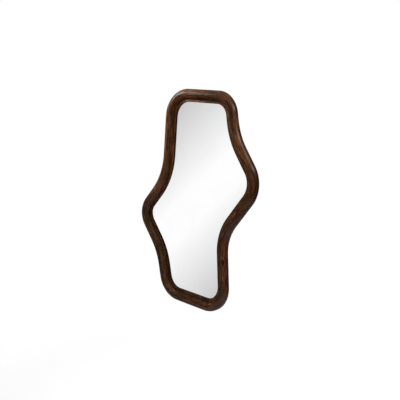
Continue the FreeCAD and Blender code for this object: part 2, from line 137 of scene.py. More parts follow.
def newGroup(name, inputs, outputs):
    group = bpy.data.node_groups.new(name, "ShaderNodeTree")
    for label, kind in inputs:
        group.interface.new_socket(label, in_out="INPUT", socket_type="NodeSocket" + kind)
    for label, kind in outputs:
        group.interface.new_socket(label, in_out="OUTPUT", socket_type="NodeSocket" + kind)
    inside = group.nodes.new("NodeGroupInput")
    outside = group.nodes.new("NodeGroupOutput")
    return group, inside.outputs, outside.inputs


def useGroup(tree, group, inputs):
    return addNode(tree, "Group", inputs, node_tree=group).outputs


# wood figure: place is in metres, with the grain along X

figureForm = {
    "drift": (7, 22, 22),           # cycles a metre along, across and through the grain
    "bands": (5, 50, 50),
    "streaks": (16, 170, 170),
    "lines": (45, 300, 300),
    "dashes": (110, 2100, 2100),
    "fibre": (60, 1500, 1500),
    "bandShare": 0.4,               # of the figure, and the streaks give the rest
    "poreEdge": (0.6, 0.7),
}


def makeWoodFigure(form):
    group, given, out = newGroup("woodFigure", [("Place", "Vector"), ("Wander", "Float")],
                                 [(name, "Float") for name in ("Figure", "Lines", "Pores", "Fibre")])
    wide = stretch(group, given["Place"], form["drift"])
    drift = addNode(group, "TexNoise", {"Vector": wide, "Scale": 1.0, "Detail": 2.0}).outputs["Color"]
    centred = addNode(group, "VectorMath", {0: drift, 1: (0.5, 0.5, 0.5)}, operation="SUBTRACT").outputs[0]
    stray = enlarge(group, centred, given["Wander"])
    place = addNode(group, "VectorMath", {0: given["Place"], 1: stray}, operation="ADD").outputs[0]
    bands = noise(group, stretch(group, place, form["bands"]), detail=2)
    streaks = noise(group, stretch(group, place, form["streaks"]), roughness=0.6)
    rest = calc(group, "MULTIPLY", streaks, 1 - form["bandShare"])
    feed(group, calc(group, "MULTIPLY_ADD", bands, form["bandShare"], rest), out["Figure"])
    feed(group, noise(group, stretch(group, place, form["lines"]), detail=4, roughness=0.65), out["Lines"])
    dashes = noise(group, stretch(group, place, form["dashes"]), detail=1)
    feed(group, remap(group, dashes, *form["poreEdge"]), out["Pores"])
    feed(group, noise(group, stretch(group, place, form["fibre"]), roughness=0.6), out["Fibre"])
    return group


# marks of handling: soft smudges and fine dust, on any finish

handlingForm = {
    "smudges": 9,                   # cycles a metre, before a finish's own scale
    "smudgeEdge": (0.35, 0.7),
    "specks": 700,
    "speckEdge": (0.6, 0.74),
}


def makeHandling(form):
    group, given, out = newGroup("handling", [("Place", "Vector"), ("Scale", "Float")],
                                 [("Smudge", "Float"), ("Dust", "Float")])
    place = enlarge(group, given["Place"], given["Scale"])
    soft = noise(group, place, scale=form["smudges"], detail=4, roughness=0.6, distortion=0.6)
    feed(group, remap(group, soft, *form["smudgeEdge"]), out["Smudge"])
    specks = noise(group, place, scale=form["specks"], detail=2, roughness=0.7)
    feed(group, remap(group, specks, *form["speckEdge"]), out["Dust"])
    return group


woodFigure = makeWoodFigure(figureForm)
handling = makeHandling(handlingForm)


# dark lacquered wood of the bar

darkWoodLook = {
    "figure": [(0.34, shade(0.0150, 0.0054, 0.0020)), (0.43, shade(0.030, 0.0115, 0.0045)),
               (0.50, shade(0.055, 0.0225, 0.0088)), (0.56, shade(0.078, 0.0320, 0.0122)),
               (0.66, shade(0.140, 0.0590, 0.0222))],
    "lines": [(0.34, shade(0.45, 0.41, 0.38)), (0.5, shade(1, 1, 1)), (0.66, shade(1.6, 1.5, 1.35))],
    "linesAmount": 0.9,
    "wander": 0.012,                # metres that the grain strays sideways
    "pore": shade(0.009, 0.0036, 0.0016),
    "poreAmount": 0.55,
    "poreDepth": 0.00012,
    "fibreHeight": 0.25,            # share of the pores' depth
    "relief": 0.6,
    "knot": shade(0.0105, 0.0046, 0.0024),
    "knotAmount": 0.6,
    "fleck": shade(0.16, 0.095, 0.055),
    "fleckAmount": 0.75,
    "markRim": (1.3, 0.4),          # shares of a mark's size where it starts and where it is full
    "markRag": 1.2,
    # colour of the joints' stain and of the painted shade in the corner and on the inner and outermost sides
    "stainAndPaintedShadeColor": shade(0.22, 0.25, 0.32),
    # the ledge lighter from wear and from painted light
    "wearAndPaintedLightTint": shade(1.2, 1.25, 1.35),
    "roughness": (0.36, 0.22, 0.10),    # plain, and what lines and smudges add
    "coat": (0.30, 0.46),           # lacquer, from worn to full
    "coatRoughness": 0.33,
    "smudgeScale": 1.6,
}


def makeDarkWood(look):
    made, tree, shader = newMaterial("darkWood")
    place = attribute(tree, "grainPlace", "Vector")
    figure = useGroup(tree, woodFigure, {"Place": place, "Wander": look["wander"]})
    marks = useGroup(tree, handling, {"Place": objectPlace(tree), "Scale": look["smudgeScale"]})
    color = ramp(tree, figure["Figure"], look["figure"])
    lines = ramp(tree, figure["Lines"], look["lines"])
    color = blendColor(tree, look["linesAmount"], color, lines, "MULTIPLY")
    # each plank's tone with painted light, and painted light and shade on the outer side
    color = blendColor(tree, 1.0, color, attribute(tree, "woodToneWithPaintedLight", "Color"), "MULTIPLY")
    pores = calc(tree, "MULTIPLY", figure["Pores"], look["poreAmount"])
    color = blendColor(tree, pores, color, look["pore"])
    # dark knots and pale flecks, ragged at the rim
    ragged = calc(tree, "MULTIPLY_ADD", figure["Lines"], look["markRag"], -look["markRag"] / 2)
    for mark in ("knot", "fleck"):
        away = calc(tree, "ADD", lengthOf(tree, attribute(tree, mark + "Place", "Vector")), ragged)
        amount = remap(tree, away, *look["markRim"], 0.0, look[mark + "Amount"])
        color = blendColor(tree, amount, color, look[mark])
    # stain at the glued joints, stain with painted shade in the corner beside the ledge,
    # painted shade on the inner and outermost sides, and the ledge lighter from wear and painted light
    stainAndPaintedShade = attribute(tree, "stainAndPaintedShade", "Fac")
    color = blendColor(tree, stainAndPaintedShade, color, look["stainAndPaintedShadeColor"], "MULTIPLY")
    wearAndPaintedLight = calc(tree, "MULTIPLY", attribute(tree, "wearAndPaintedLight", "Fac"), marks["Smudge"])
    color = blendColor(tree, wearAndPaintedLight, color, look["wearAndPaintedLightTint"], "MULTIPLY")
    feed(tree, color, shader.inputs["Base Color"])
    plain, byLines, bySmudges = look["roughness"]
    rough = calc(tree, "MULTIPLY_ADD", figure["Lines"], byLines, plain)
    feed(tree, calc(tree, "MULTIPLY_ADD", marks["Smudge"], bySmudges, rough), shader.inputs["Roughness"])
    worn, full = look["coat"]
    coat = remap(tree, marks["Smudge"], 0.0, 1.0, full, worn, "LINEAR")
    bare = calc(tree, "MAXIMUM", stainAndPaintedShade, attribute(tree, "dull", "Fac"))
    feed(tree, calc(tree, "MULTIPLY", coat, calc(tree, "SUBTRACT", 1.0, bare)), shader.inputs["Coat Weight"])
    shader.inputs["Coat Roughness"].default_value = look["coatRoughness"]
    shader.inputs["Specular IOR Level"].default_value = 0.0
    fibre = calc(tree, "MULTIPLY", figure["Fibre"], look["fibreHeight"])
    height = calc(tree, "SUBTRACT", fibre, figure["Pores"])
    feed(tree, bump(tree, height, look["poreDepth"], look["relief"]), shader.inputs["Normal"])
    return made


# the ten bent segments of the bar

barForm = {
    "spanWide": 0.708,          # between the outermost bend points of the centre line
    "spanHigh": 0.976,
    "ledgeWidth": 0.011,
    "ledgeThickness": 0.004,
    "ledgeRound": 0.0015,
    "backRound": 0.003,
    "glassCover": 0.015,
    "glassEdgeGap": 0.001,
    "boardMargin": 0.012,
    "skin": 0.00002,            # keeps the bar just within its CAD solid
    "cove": 0.0007,             # where the ledge meets the round
    "ease": 0.0003,             # rubbed arris
    "jointEase": 0.00012,       # hairline at the glued joints
    "ringStep": 0.004,
    "endRings": (0, 0.0002, 0.0006, 0.0015),    # distances from each end
    "ledgeShares": (0.75, 0.5, 0.3, 0.15),      # points across the flat of the ledge
    "roundSteps": 40,
    "edgeSteps": 6,
    "coveSteps": 4,
    "smoothAngle": math.radians(35),
}

# where stain, painted shade, painted light, wear and lacquer change: metres, shares of the bar's radius, and
# strengths
toneForm = {
    "seamReach": 0.0007,        # along the bar from a glued joint
    "seam": 0.6,
    # stain with painted shade in the corner beside the ledge
    "creaseShadeReach": 0.0075,      # in the corner: up the round
    "ledgeShadeReach": 0.0018,       # and out on the ledge
    "creaseShadeFade": 1.5,
    "stainAndPaintedShade": 0.45,
    # painted shade on the inner side, towards the corner
    "innerShadeReach": 0.040,
    # painted shade on the outermost side
    "outerShadeFrom": 0.75,        # outermost side, towards the wall
    "outside": 0.30,
    # painted light and shade on the outer side
    "outerLap": 0.1,            # the outer side's tone starts this far in from the crown
    "outerDull": 1.5,           # dullness beside the darkness of the outer side
    "dullFrom": 0.25,           # less lacquer on the inner side
    "dullSpan": 0.5,
    # wear with painted light on the ledge
    "wearAndLightReach": 0.009,          # wear in from the ledge's edge
    "knotBend": 0.6,            # how much the grain swerves at a knot
    "knotReach": 2.0,           # in sizes of the knot
    "noMark": 9.0,              # sizes away, past any mark's rim
}

# bend points clockwise from the top left: share of half the spans across and up, radius
bendForm = {
    "top_left": (-0.4, 1.0, 0.105),
    "top_right": (0.58, 0.93, 0.090),
    "right_upper_waist": (0.645, 0.585, 0.310),
    "right_bulge": (1.005, 0.17, 0.115),
    "right_lower_waist": (0.46, -0.295, 0.205),
    "bottom_right": (0.5, -0.995, 0.100),
    "bottom_left": (-0.52, -0.945, 0.100),
    "left_lower_waist": (-0.625, -0.54, 0.310),
    "left_bulge": (-1.0, -0.16, 0.085),
    "left_upper_waist": (-0.5, 0.21, 0.295),
}

# each plank's tint at its middle and grain slant, and how far its place in the timber jumps from the plank
# before, in the order of cutting, so that the grain breaks at the middle of the top run
# the tints are partly each plank's own tone and partly painted light: lighter on the upper left planks,
# darker on the lower left
plankForm = {
    "top_right": (shade(1.24, 1.12, 1.06), -0.03, 0.9),
    "right_upper_waist": (shade(1.34, 1.20, 1.06), -0.03, 0.0),
    "right_bulge": (shade(1.08, 0.95, 0.86), 0.02, 0.0),
    "right_lower_waist": (shade(1.04, 0.96, 0.86), 0.02, 1.3),
    "bottom_right": (shade(1.02, 0.96, 0.86), -0.02, 0.0),
    "bottom_left": (shade(0.96, 1.0, 1.06), 0.02, 0.7),
    "left_lower_waist": (shade(0.78, 0.80, 0.88), 0.02, 0.0),
    "left_bulge": (shade(0.80, 0.86, 0.98), -0.02, 0.0),
    "left_upper_waist": (shade(1.62, 1.48, 1.38), 0.03, 0.0),
    "top_left": (shade(1.92, 1.74, 1.62), 0.03, 0.0),
}

# sides of the bar at the joint where each plank starts: outer side lighter with painted light, or darker with
# painted shade and duller, painted shade on the inner side, and how dull the inner side is
sideForm = {
    "top_left": (1.2, 0.5, 0.4),
    "top_right": (-0.15, 0.9, 0.4),
    "right_upper_waist": (0.45, 0.05, 0.9),
    "right_bulge": (-0.15, 0.5, 0.9),
    "right_lower_waist": (-0.35, 0.1, 0.9),
    "bottom_right": (0.2, 0.5, 0.8),
    "bottom_left": (-0.7, 0.1, 0.7),
    "left_lower_waist": (0.0, 0.0, 0.5),
    "left_bulge": (-0.7, 0.0, 0.4),
    "left_upper_waist": (-0.7, 0.0, 0.45),
}

# dark knots and pale flecks: share of the plank's length, degrees round from the front to the outside,
# length and width
knotForm = {
    "right_lower_waist": (0.815, 48, 0.011, 0.005),
    "bottom_left": (0.62, -20, 0.009, 0.005),
}
fleckForm = {
    "right_lower_waist": (0.755, 46, 0.006, 0.003),
    "bottom_right": (0.59, -28, 0.010, 0.007),
}

# the skin laid flat for baking: shares of the map, and metres to map units for the two ends
unrollForm = {
    "margin": 0.02,
    "along": 0.96,
    "around": 0.74,
    "endPlaces": (0.2, 0.6),
    "endTop": 0.98,
    "endScale": (3, 4),
}

# what each point of the bar carries for the wood's shader
pointFields = {
    "grainPlace": "FLOAT_VECTOR",
    "knotPlace": "FLOAT_VECTOR",
    "fleckPlace": "FLOAT_VECTOR",
    # the tone carries painted light and shade, the stain mask painted shade, and the wear mask painted light
    "woodToneWithPaintedLight": "FLOAT_COLOR",
    "stainAndPaintedShade": "FLOAT",
    "dull": "FLOAT",
    "wearAndPaintedLight": "FLOAT",
}

boardLow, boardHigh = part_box("back_board")
glassLow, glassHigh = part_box("mirror_glass")
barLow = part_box("frame_top_left")[0]
backFace, boardFront, glassFront = boardHigh.y, boardLow.y, glassLow.y
ledgeFront = glassFront - barForm["ledgeThickness"]
barRadius = ledgeFront - barLow.y - barForm["skin"]
ledgeEdge = barRadius + barForm["ledgeWidth"]
rebateWall = ledgeEdge - barForm["glassCover"] - barForm["glassEdgeGap"]
stepWall = rebateWall - barForm["boardMargin"]


def clip(value):
    return min(max(value, 0.0), 1.0)


def arcPoints(centre, radius, fromAngle, toAngle, steps):
    angles = [fromAngle + (toAngle - fromAngle) * step / steps for step in range(steps + 1)]
    return [(centre[0] + radius * math.cos(angle), centre[1] + radius * math.sin(angle)) for angle in angles]


# section of the bar, x towards the glass and y towards the wall, once round
def barSection(form):
    ease, cove, curl, corner = form["ease"], form["cove"], form["ledgeRound"], form["backRound"]
    half = math.pi / 2
    points = arcPoints((corner - barRadius, backFace - corner), corner, math.pi, half, form["edgeSteps"])
    points += [(stepWall - ease, backFace), (stepWall, backFace - ease), (stepWall, boardFront)]
    points += [(rebateWall, boardFront), (rebateWall, glassFront)]
    points += [(ledgeEdge - ease, glassFront), (ledgeEdge, glassFront - ease)]
    points += arcPoints((ledgeEdge - curl, ledgeFront + curl), curl, 0, -half, form["edgeSteps"])
    flat = ledgeEdge - curl - barRadius - cove
    points += [(barRadius + cove + flat * share, ledgeFront) for share in form["ledgeShares"]]
    points += arcPoints((barRadius + cove, ledgeFront - cove), cove, half, math.pi, form["coveSteps"])
    lift = math.asin(cove / barRadius)
    points += arcPoints((0, ledgeFront), barRadius, -lift, -math.pi, form["roundSteps"])[1:]
    return points


def neighbours(name):
    order = list(bendForm)
    index = order.index(name)
    return order[index - 1], order[(index + 1) % len(order)]


# centre line of one segment: distance along it to a point and a heading
def segmentPath(name, form):
    spans = Vector((form["spanWide"] / 2, form["spanHigh"] / 2))
    previous, following = neighbours(name)
    earlier, here, later = [Vector(bendForm[bend][:2]) * spans for bend in (previous, name, following)]
    start, finish = (earlier + here) / 2, (here + later) / 2
    lead, tail = (here - start), (finish - here)
    heading = math.atan2(lead.x, lead.y)
    turn = math.remainder(math.atan2(tail.x, tail.y) - heading, 2 * math.pi)
    side = math.copysign(1, turn)
    radius = bendForm[name][2]
    setback = radius * math.tan(abs(turn) / 2)
    bendStart = lead.length - setback
    bendEnd = bendStart + radius * abs(turn)
    length = bendEnd + tail.length - setback

    def ahead(angle):
        return Vector((math.sin(angle), math.cos(angle)))

    def inward(angle):
        return Vector((math.cos(angle), -math.sin(angle)))

    def at(distance):
        if distance <= bendStart:
            return start + ahead(heading) * distance, heading
        centre = start + ahead(heading) * bendStart + inward(heading) * (side * radius)
        angle = heading + side * (min(distance, bendEnd) - bendStart) / radius
        onArc = centre - inward(angle) * (side * radius)
        return onArc + ahead(angle) * max(distance - bendEnd, 0), angle

    return at, length, (bendStart, bendEnd)


def ringPlaces(length, breaks, form):
    stops = list(form["endRings"]) + list(breaks) + [length - place for place in reversed(form["endRings"])]
    places = []
    for low, high in zip(stops, stops[1:]):
        count = max(1, math.ceil((high - low) / form["ringStep"]))
        places += [low + (high - low) * index / count for index in range(count)]
    return places + [length]


# stain and painted shade, painted light and shade of the outer side, dullness, and wear with painted light at
# a point of the section
def pointTones(x, y, seam, sides, form):
    paintedOuterLightShade, paintedInnerShadeAmount, dullness = sides
    fromCorner = math.hypot(x - barRadius, y - ledgeFront)
    fromEdge = math.hypot(x - ledgeEdge, y - ledgeFront)
    onRound = y < ledgeFront - barForm["cove"] / 2
    # stain with painted shade in the corner beside the ledge
    reach = form["creaseShadeReach"] if onRound else form["ledgeShadeReach"]
    corner = clip(1 - fromCorner / reach) ** form["creaseShadeFade"] * form["stainAndPaintedShade"]
    # painted shade on the outermost side
    outside = clip((-x / barRadius - form["outerShadeFrom"]) / (1 - form["outerShadeFrom"])) * form["outside"]
    # painted shade on the inner side
    paintedInnerShade = clip(2 * (1 - fromCorner / form["innerShadeReach"])) * paintedInnerShadeAmount * onRound
    # painted light and shade on the outer side
    toOutside = clip(form["outerLap"] - x / barRadius)
    toInside = clip((x / barRadius - form["dullFrom"]) / form["dullSpan"])
    dull = clip(max(toInside * dullness, -form["outerDull"] * paintedOuterLightShade * toOutside))
    # wear with painted light on the ledge
    wearAndPaintedLight = clip(2 * (1 - fromEdge / form["wearAndLightReach"]))
    return max(seam, corner, outside, paintedInnerShade), 1 + paintedOuterLightShade * toOutside, dull, wearAndPaintedLight


# how far a point is from a knot or fleck, in sizes of it
def fromMark(mark, along, x, y, length):
    if not mark:
        return (toneForm["noMark"],) * 3
    share, degrees, markLong, markWide = mark
    angle = math.radians(degrees)
    return ((along - share * length) / markLong, (x + barRadius * math.sin(angle)) / markWide,
            (y - ledgeFront + barRadius * math.cos(angle)) / markWide)


# quads round and along the bar and a face at each end, with their places on the flat map
def skinFaces(section, distances, form):
    girth = [0.0]
    for first, second in zip(section, section[1:] + section[:1]):
        girth.append(girth[-1] + math.dist(first, second))
    count, lastRing = len(section), len(distances) - 1
    faces, flat = [], []
    for ring in range(lastRing):
        for edge in range(count):
            corners = ((ring, edge), (ring, edge + 1), (ring + 1, edge + 1), (ring + 1, edge))
            faces.append([r * count + e % count for r, e in corners])
            flat += [(form["margin"] + form["along"] * distances[r] / distances[-1],
                      form["margin"] + form["around"] * girth[e] / girth[-1]) for r, e in corners]
    across, up = form["endScale"]
    for ring, place in zip((0, lastRing), form["endPlaces"]):
        loop = list(range(count)) if ring else list(reversed(range(count)))
        faces.append([ring * count + edge for edge in loop])
        flat += [(place + section[edge][0] * across, form["endTop"] + section[edge][1] * up) for edge in loop]
    return faces, flat


def setAttribute(mesh, name, kind, values):
    made = mesh.attributes.new(name, kind, "POINT")
    field = {"FLOAT": "value", "FLOAT_VECTOR": "vector", "FLOAT_COLOR": "color"}[kind]
    flat = [part for value in values for part in (value if kind != "FLOAT" else (value,))]
    made.data.foreach_set(field, flat)


def makeSegment(name, form, finish, reached, slid):
    at, length, breaks = segmentPath(name, form)
    section = barSection(form)
    distances = ringPlaces(length, breaks, form)
    middle = Vector((sum(x for x, y in section), sum(y for x, y in section))) / len(section)
    slant, jump = plankForm[name][1:]
    previous, following = neighbours(name)
    before, own, after = [Vector(plankForm[plank][0]) for plank in (previous, name, following)]
    startSides, endSides = Vector(sideForm[name]), Vector(sideForm[following])
    points = []
    fields = {field: [] for field in pointFields}
    for distance in distances:
        centre, heading = at(distance)
        inset = form["jointEase"] if distance in (0, length) else 0
        seam = clip(1 - min(distance, length - distance) / toneForm["seamReach"]) * toneForm["seam"]
        share = distance / length
        # plank tone with painted light
        plankToneWithPaintedLight = own.lerp(after if share > 0.5 else before, abs(share - 0.5))
        sides = startSides.lerp(endSides, share)
        for x, y in section:
            toMiddle = (middle - Vector((x, y))).normalized() * inset
            across, depth = x + toMiddle.x, y + toMiddle.y
            points.append((centre.x + across * math.cos(heading), depth,
                           centre.y - across * math.sin(heading)))
            # stain with painted shade, painted light and shade of the outer side, and wear with painted light
            stainAndPaintedShade, outerLightShadeFactor, dull, wearAndPaintedLight = pointTones(x, y, seam, sides, toneForm)
            knot = fromMark(knotForm.get(name), distance, x, y, length)
            fleck = fromMark(fleckForm.get(name), distance, x, y, length)
            nearKnot = math.exp(-sum(part * part for part in knot) / toneForm["knotReach"] ** 2)
            swerve = 1 - toneForm["knotBend"] * nearKnot
            grain = (reached + jump + distance, x * swerve + slid + slant * distance, y * swerve)
            values = (grain, knot, fleck, plankToneWithPaintedLight * outerLightShadeFactor, stainAndPaintedShade, dull, wearAndPaintedLight)
            for field, value in zip(fields.values(), values):
                field.append(value)
    faces, flat = skinFaces(section, distances, unrollForm)
    mesh = bpy.data.meshes.new("segment_" + name)
    mesh.from_pydata(points, [], faces)
    mesh.uv_layers.new(name="OFBake")
    for corner, place in zip(mesh.uv_layers["OFBake"].data, flat):
        corner.uv = place
    for field, kind in pointFields.items():
        setAttribute(mesh, field, kind, fields[field])
    work = bmesh.new()
    work.from_mesh(mesh)
    bmesh.ops.recalc_face_normals(work, faces=work.faces)
    for face in work.faces:
        face.smooth = True
    work.to_mesh(mesh)
    work.free()
    mesh.set_sharp_from_angle(angle=form["smoothAngle"])
    mesh.materials.append(finish)
    piece = bpy.data.objects.new("segment_" + name, mesh)
    scene.collection.objects.link(piece)
    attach(piece, "frame")
    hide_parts("frame_" + name)
    return reached + jump + length, slid + slant * length


darkWood = makeDarkWood(darkWoodLook)
timberPlace = (0.0, 0.0)        # along and across the timber where the next plank is cut
for bend in plankForm:
    timberPlace = makeSegment(bend, barForm, darkWood, *timberPlace)
print("bar:", len(plankForm), "segments")


# mirror: clear glass with its back face silvered

mirrorLook = {
    "clear": shade(1.0, 1.0, 1.0),
    "hazed": shade(0.985, 0.992, 0.988),
    "silver": shade(0.997, 0.998, 0.997),
    "aged": shade(0.985, 0.987, 0.985),
    "haze": 0.006,
    "refraction": 1.52,
    "film": 0.00005,            # the silver clears the tape behind it by this much
    "backFacing": 0.9,          # how squarely a silvered face looks at the wall
    "glassScale": 0.7,
    "silverScale": 1.3,
}


def makeClearGlass(look):
    made, tree, shader = newMaterial("clearGlass")
    marks = useGroup(tree, handling, {"Place": objectPlace(tree), "Scale": look["glassScale"]})
    feed(tree, blendColor(tree, marks["Smudge"], look["clear"], look["hazed"]), shader.inputs["Base Color"])
    feed(tree, calc(tree, "MULTIPLY", marks["Smudge"], look["haze"]), shader.inputs["Roughness"])
    shader.inputs["Transmission Weight"].default_value = 1.0
    shader.inputs["Specular Tint"].default_value = shade(0, 0, 0)      # the silver gives the reflection
    shader.inputs["IOR"].default_value = look["refraction"]
    return made


def makeSilver(look):
    made, tree, shader = newMaterial("silvering")
    marks = useGroup(tree, handling, {"Place": objectPlace(tree), "Scale": look["silverScale"]})
    feed(tree, blendColor(tree, marks["Smudge"], look["silver"], look["aged"]), shader.inputs["Base Color"])
    feed(tree, calc(tree, "MULTIPLY", marks["Dust"], look["haze"]), shader.inputs["Roughness"])
    shader.inputs["Metallic"].default_value = 1.0
    return made


def makePane(look):
    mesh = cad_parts["mirror_glass"].data.copy()
    mesh.materials.clear()
    for finish in (makeClearGlass(look), makeSilver(look)):
        mesh.materials.append(finish)
    for face in mesh.polygons:
        face.material_index = 1 if face.normal.y > look["backFacing"] else 0
    for point in mesh.vertices:
        point.co.y = min(point.co.y, glassHigh.y - look["film"])
    pane = bpy.data.objects.new("silvered_pane", mesh)
    scene.collection.objects.link(pane)
    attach(pane, "frame")
    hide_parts("mirror_glass")


makePane(mirrorLook)
print("mirror: silvered pane")


# finishes of the pieces that keep their CAD shape

boardLook = {
    "dark": shade(0.17, 0.095, 0.05),
    "middle": shade(0.30, 0.18, 0.10),
    "pale": shade(0.42, 0.28, 0.165),
    "stain": shade(0.8, 0.78, 0.74),
    "chips": (260, 260, 90),    # cycles a metre
    "felt": 900,
    "feltShare": 0.45,
    "roughness": (0.92, 0.72),
    "gloss": 0.25,
    "relief": 0.0002,
}


def makeFibreboard(look):
    made, tree, shader = newMaterial("fibreboard")
    place = objectPlace(tree)
    marks = useGroup(tree, handling, {"Place": place, "Scale": 1.0})
    chips = noise(tree, stretch(tree, place, look["chips"]), detail=5, roughness=0.7, distortion=1.5)
    felt = noise(tree, place, scale=look["felt"], roughness=0.65)
    rest = calc(tree, "MULTIPLY", chips, 1 - look["feltShare"])
    both = calc(tree, "MULTIPLY_ADD", felt, look["feltShare"], rest)
    color = ramp(tree, both, [(0.36, look["dark"]), (0.5, look["middle"]), (0.64, look["pale"])])
    color = blendColor(tree, marks["Smudge"], color, look["stain"], "MULTIPLY")
    feed(tree, color, shader.inputs["Base Color"])
    feed(tree, remap(tree, both, 0.3, 0.7, *look["roughness"]), shader.inputs["Roughness"])
    shader.inputs["Specular IOR Level"].default_value = look["gloss"]
    feed(tree, bump(tree, both, look["relief"], 0.5), shader.inputs["Normal"])
    return made


steelLooks = {
    "strapSteel": {"plate": shade(0.56, 0.56, 0.54), "dull": shade(0.40, 0.40, 0.39), "rough": (0.22, 0.42)},
    "ringSteel": {"plate": shade(0.62, 0.62, 0.60), "dull": shade(0.44, 0.44, 0.43), "rough": (0.16, 0.34)},
    "screwSteel": {"plate": shade(0.58, 0.53, 0.40), "dull": shade(0.40, 0.36, 0.28), "rough": (0.24, 0.45)},
}
steelWear = {
    "bloom": 900,               # cycles a metre
    "bloomShare": 0.6,
    "scratches": (300, 300, 5200),
    "scratchDepth": 0.00002,
    "smudgeScale": 14.0,
}


def makeSteel(name, look, wear):
    made, tree, shader = newMaterial(name)
    place = objectPlace(tree)
    marks = useGroup(tree, handling, {"Place": place, "Scale": wear["smudgeScale"]})
    bloom = noise(tree, place, scale=wear["bloom"], detail=4, roughness=0.65)
    scratches = noise(tree, stretch(tree, place, wear["scratches"]), detail=2, roughness=0.6)
    smudged = calc(tree, "MULTIPLY", marks["Smudge"], 1 - wear["bloomShare"])
    worn = calc(tree, "MULTIPLY_ADD", bloom, wear["bloomShare"], smudged)
    color = blendColor(tree, remap(tree, worn, 0.25, 0.75), look["plate"], look["dull"])
    feed(tree, color, shader.inputs["Base Color"])
    feed(tree, remap(tree, worn, 0.2, 0.8, *look["rough"]), shader.inputs["Roughness"])
    feed(tree, bump(tree, scratches, wear["scratchDepth"], 0.4), shader.inputs["Normal"])
    shader.inputs["Metallic"].default_value = 1.0
    return made


rubberLook = {
    "black": shade(0.022, 0.022, 0.023),
    "dusty": shade(0.075, 0.073, 0.070),
    "dustAmount": 0.5,
    "smudgeAmount": 0.3,
    "smudgeScale": 6.0,
    "skin": 2600,               # cycles a metre
    "roughness": (0.62, 0.82),
    "gloss": 0.3,
    "relief": 0.00008,
}


def makeRubber(look):
    made, tree, shader = newMaterial("bumperRubber")
    place = objectPlace(tree)
    marks = useGroup(tree, handling, {"Place": place, "Scale": look["smudgeScale"]})
    skin = noise(tree, place, scale=look["skin"], detail=2)
    smudged = calc(tree, "MULTIPLY", marks["Smudge"], look["smudgeAmount"])
    dusty = calc(tree, "MULTIPLY_ADD", marks["Dust"], look["dustAmount"], smudged)
    feed(tree, blendColor(tree, dusty, look["black"], look["dusty"]), shader.inputs["Base Color"])
    feed(tree, remap(tree, skin, 0.3, 0.7, *look["roughness"]), shader.inputs["Roughness"])
    shader.inputs["Specular IOR Level"].default_value = look["gloss"]
    feed(tree, bump(tree, skin, look["relief"], 0.4), shader.inputs["Normal"])
    return made


foamLook = {
    "foam": shade(0.78, 0.77, 0.73),
    "cell": shade(0.52, 0.51, 0.48),
    "cells": 1400.0,            # in a metre
    "roughness": (0.95, 0.8),
    "relief": 0.0003,
}


def makeFoam(look):
    made, tree, shader = newMaterial("foamTape")
    grid = {"Vector": objectPlace(tree), "Scale": look["cells"]}
    cells = addNode(tree, "TexVoronoi", grid).outputs["Distance"]
    color = blendColor(tree, remap(tree, cells, 0.15, 0.7), look["cell"], look["foam"])
    feed(tree, color, shader.inputs["Base Color"])
    feed(tree, remap(tree, cells, 0.0, 0.8, *look["roughness"]), shader.inputs["Roughness"])
    feed(tree, bump(tree, cells, look["relief"], 0.5), shader.inputs["Normal"])
    return made


dowelLook = {
    "dark": shade(0.42, 0.27, 0.14),
    "pale": shade(0.64, 0.46, 0.27),
    "wander": 0.004,
    "poreAmount": 0.4,
    "roughness": (0.7, 0.55),
    "relief": 0.0001,
}


def makeDowelWood(look):
    made, tree, shader = newMaterial("dowelBeech")
    figure = useGroup(tree, woodFigure, {"Place": objectPlace(tree), "Wander": look["wander"]})
    color = ramp(tree, figure["Lines"], [(0.3, look["dark"]), (0.7, look["pale"])])
    pores = calc(tree, "MULTIPLY", figure["Pores"], look["poreAmount"])
    feed(tree, blendColor(tree, pores, color, look["dark"]), shader.inputs["Base Color"])
    feed(tree, remap(tree, figure["Fibre"], 0.3, 0.7, *look["roughness"]), shader.inputs["Roughness"])
    feed(tree, bump(tree, figure["Fibre"], look["relief"], 0.4), shader.inputs["Normal"])
    return made


# how the names of the nodes start, and their finish
finishes = {
    "back_board": makeFibreboard(boardLook),
    "dowels": makeDowelWood(dowelLook),
    "board_screws": makeSteel("screwSteel", steelLooks["screwSteel"], steelWear),
    "hanger_strap": makeSteel("strapSteel", steelLooks["strapSteel"], steelWear),
    "hanger_ring": makeSteel("ringSteel", steelLooks["ringSteel"], steelWear),
    "bumper": makeRubber(rubberLook),
    "tape": makeFoam(foamLook),
}
finishes["hanger_screw"] = finishes["board_screws"]

for name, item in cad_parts.items():
    for start, finish in finishes.items():
        if name.startswith(start):
            item.data.materials.clear()
            item.data.materials.append(finish)
print("finishes:", len(finishes), "on the CAD pieces")


# camera at the photograph's viewing angle

cameraView = {
    "target": Vector((0.0325, -0.019, 0.0043)),
    "azimuth": math.radians(42.36),
    "elevation": math.radians(6.92),
    "distance": 2.380,
    "lens": 47.54,
    "sensor": 36.0,
}


def makeCamera(view):
    data = bpy.data.cameras.new("camera")
    data.lens = view["lens"]
    data.sensor_width = view["sensor"]
    camera = bpy.data.objects.new("camera", data)
    flat = math.cos(view["elevation"])
    toward = Vector((math.sin(view["azimuth"]) * flat, -math.cos(view["azimuth"]) * flat,
                     math.sin(view["elevation"])))
    camera.location = view["target"] + toward * view["distance"]
    camera.rotation_euler = (-toward).to_track_quat("-Z", "Y").to_euler()
    scene.collection.objects.link(camera)
    scene.camera = camera


makeCamera(cameraView)
print("camera:", cameraView["lens"], "mm lens,", cameraView["distance"], "m away")


# studio: soft lamps, a pale floor, and white all round

